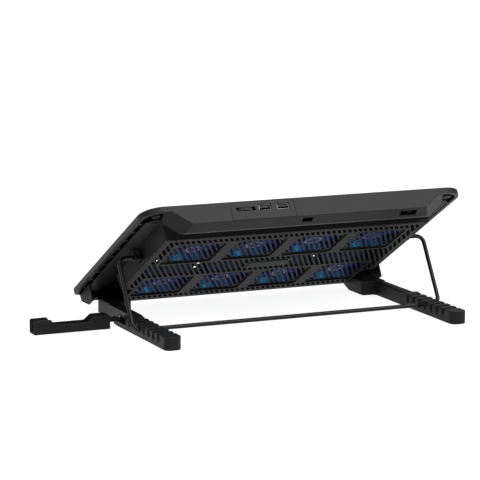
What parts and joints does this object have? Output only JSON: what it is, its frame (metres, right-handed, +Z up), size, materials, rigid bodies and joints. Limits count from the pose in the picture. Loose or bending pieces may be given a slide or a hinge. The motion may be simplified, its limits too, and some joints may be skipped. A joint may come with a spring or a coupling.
{
  "type": "laptop cooling pad",
  "caption": "Sloping laptop cooling pad with lit fans under a slotted grille, folding notched legs, a wire bail prop and a swing-out phone holder.",
  "frame": {"origin": "on the desk, under the middle of the whole object's bounding box", "axes": "+X to the user's right, +Y away from the user towards the raised rear edge, +Z up"},
  "size_m": [0.494, 0.2753, 0.1559],
  "materials": {
    "frame_plastic": "satin moulded",
    "cover_plastic": "fine matte texture",
    "grille_plastic": "satin moulded",
    "mesh_metal": "black powder coat",
    "wire_metal": "black enamel",
    "leg_plastic": "satin moulded",
    "fan_frame_plastic": "moulded",
    "fan_blade_plastic": "tinted translucent",
    "lamp_lens": "lit",
    "usb_metal": "plated",
    "usb_insert": "moulded",
    "board_green": "lacquered",
    "pin_steel": "turned",
    "screw_steel": "black zinc",
    "rubber_black": "matte",
    "dial_plastic": "knurled"
  },
  "bodies": {
    "pad": {"top_frame": "frame_plastic", "top_mesh": "mesh_metal", "port_panel": "frame_plastic", "usb_shell_1": "usb_metal", "usb_shell_2": "usb_metal", "usb_tongue_1": "usb_insert", "usb_tongue_2": "usb_insert", "control_board": "board_green", "dial_spindle": "usb_insert", "lamp_switch_body": "usb_insert", "bottom_cover": "cover_plastic", "bottom_grille": "grille_plastic", "blank_plate": "grille_plastic", "fan_lamps": "lamp_lens", "cover_screws": "screw_steel", "fan_screws": "screw_steel", "leg_pin_left": "pin_steel", "leg_pin_right": "pin_steel", "bail_clip_left": "cover_plastic", "bail_clip_right": "cover_plastic", "stop_pin_left": "pin_steel", "stop_pin_right": "pin_steel", "fan_frame_1": "fan_frame_plastic", "fan_frame_2": "fan_frame_plastic", "fan_frame_3": "fan_frame_plastic", "fan_frame_4": "fan_frame_plastic", "fan_frame_5": "fan_frame_plastic", "fan_frame_6": "fan_frame_plastic", "fan_frame_7": "fan_frame_plastic", "fan_frame_8": "fan_frame_plastic"},
    "speed_dial": {"speed_dial": "dial_plastic"},
    "lamp_switch": {"lamp_switch_slider": "dial_plastic"},
    "leg_left": {"leg_left": "leg_plastic", "feet_left": "rubber_black"},
    "leg_right": {"leg_right": "leg_plastic", "feet_right": "rubber_black", "holder_pin": "pin_steel"},
    "bail": {"bail": "wire_metal"},
    "phone_holder": {"phone_holder": "leg_plastic"},
    "laptop_stop_left": {"laptop_stop_left": "frame_plastic"},
    "laptop_stop_right": {"laptop_stop_right": "frame_plastic"},
    "fan_rotor_1": {"fan_rotor_1": "fan_blade_plastic"},
    "fan_rotor_2": {"fan_rotor_2": "fan_blade_plastic"},
    "fan_rotor_3": {"fan_rotor_3": "fan_blade_plastic"},
    "fan_rotor_4": {"fan_rotor_4": "fan_blade_plastic"},
    "fan_rotor_5": {"fan_rotor_5": "fan_blade_plastic"},
    "fan_rotor_6": {"fan_rotor_6": "fan_blade_plastic"},
    "fan_rotor_7": {"fan_rotor_7": "fan_blade_plastic"},
    "fan_rotor_8": {"fan_rotor_8": "fan_blade_plastic"}
  },
  "joints": [
    {"name": "leg_left_hinge", "type": "hinge", "parent": "pad", "child": "leg_left", "pos_m": [-0.217, -0.12057, 0.01416], "axis": [-1, 0, 0], "range_deg": [0, 50]},
    {"name": "leg_right_hinge", "type": "hinge", "parent": "pad", "child": "leg_right", "pos_m": [0.123, -0.12057, 0.01416], "axis": [-1, 0, 0], "range_deg": [0, 50]},
    {"name": "bail_hinge", "type": "hinge", "parent": "pad", "child": "bail", "pos_m": [-0.047, 0.01033, 0.08333], "axis": [1, 0, 0], "range_deg": [0, 5]},
    {"name": "phone_holder_swivel", "type": "hinge", "parent": "leg_right", "child": "phone_holder", "pos_m": [0.139, -0.0114, 0.009], "axis": [0, 0, 1], "range_deg": [-78, 0]},
    {"name": "speed_dial_turn", "type": "hinge", "parent": "pad", "child": "speed_dial", "pos_m": [0.0322, 0.09996, 0.14325], "axis": [0, -0.4909, 0.8712], "range_deg": [0, 270]},
    {"name": "lamp_switch_slide", "type": "slide", "parent": "pad", "child": "lamp_switch", "axis": [1, 0, 0], "range_m": [0, 0.0034]},
    {"name": "laptop_stop_left_hinge", "type": "hinge", "parent": "pad", "child": "laptop_stop_left", "pos_m": [-0.155, -0.13107, 0.02099], "axis": [1, 0, 0], "range_deg": [0, 95]},
    {"name": "laptop_stop_right_hinge", "type": "hinge", "parent": "pad", "child": "laptop_stop_right", "pos_m": [0.061, -0.13107, 0.02099], "axis": [1, 0, 0], "range_deg": [0, 95]},
    {"name": "fan_1_spin", "type": "hinge", "parent": "pad", "child": "fan_rotor_1", "pos_m": [-0.1613, -0.06416, 0.04136], "axis": [0, -0.4909, 0.8712], "continuous": true},
    {"name": "fan_2_spin", "type": "hinge", "parent": "pad", "child": "fan_rotor_2", "pos_m": [-0.0851, -0.06416, 0.04136], "axis": [0, -0.4909, 0.8712], "continuous": true},
    {"name": "fan_3_spin", "type": "hinge", "parent": "pad", "child": "fan_rotor_3", "pos_m": [-0.0089, -0.06416, 0.04136], "axis": [0, -0.4909, 0.8712], "continuous": true},
    {"name": "fan_4_spin", "type": "hinge", "parent": "pad", "child": "fan_rotor_4", "pos_m": [0.0673, -0.06416, 0.04136], "axis": [0, -0.4909, 0.8712], "continuous": true},
    {"name": "fan_5_spin", "type": "hinge", "parent": "pad", "child": "fan_rotor_5", "pos_m": [-0.1613, 0.03298, 0.0961], "axis": [0, -0.4909, 0.8712], "continuous": true},
    {"name": "fan_6_spin", "type": "hinge", "parent": "pad", "child": "fan_rotor_6", "pos_m": [-0.0851, 0.03298, 0.0961], "axis": [0, -0.4909, 0.8712], "continuous": true},
    {"name": "fan_7_spin", "type": "hinge", "parent": "pad", "child": "fan_rotor_7", "pos_m": [-0.0089, 0.03298, 0.0961], "axis": [0, -0.4909, 0.8712], "continuous": true},
    {"name": "fan_8_spin", "type": "hinge", "parent": "pad", "child": "fan_rotor_8", "pos_m": [0.0673, 0.03298, 0.0961], "axis": [0, -0.4909, 0.8712], "continuous": true}
  ],
  "couplings": [
    {"joint": "leg_right_hinge", "follows": "leg_left_hinge", "ratio": 1},
    {"joint": "bail_hinge", "follows": "leg_left_hinge", "ratio": 0.1}
  ]
}
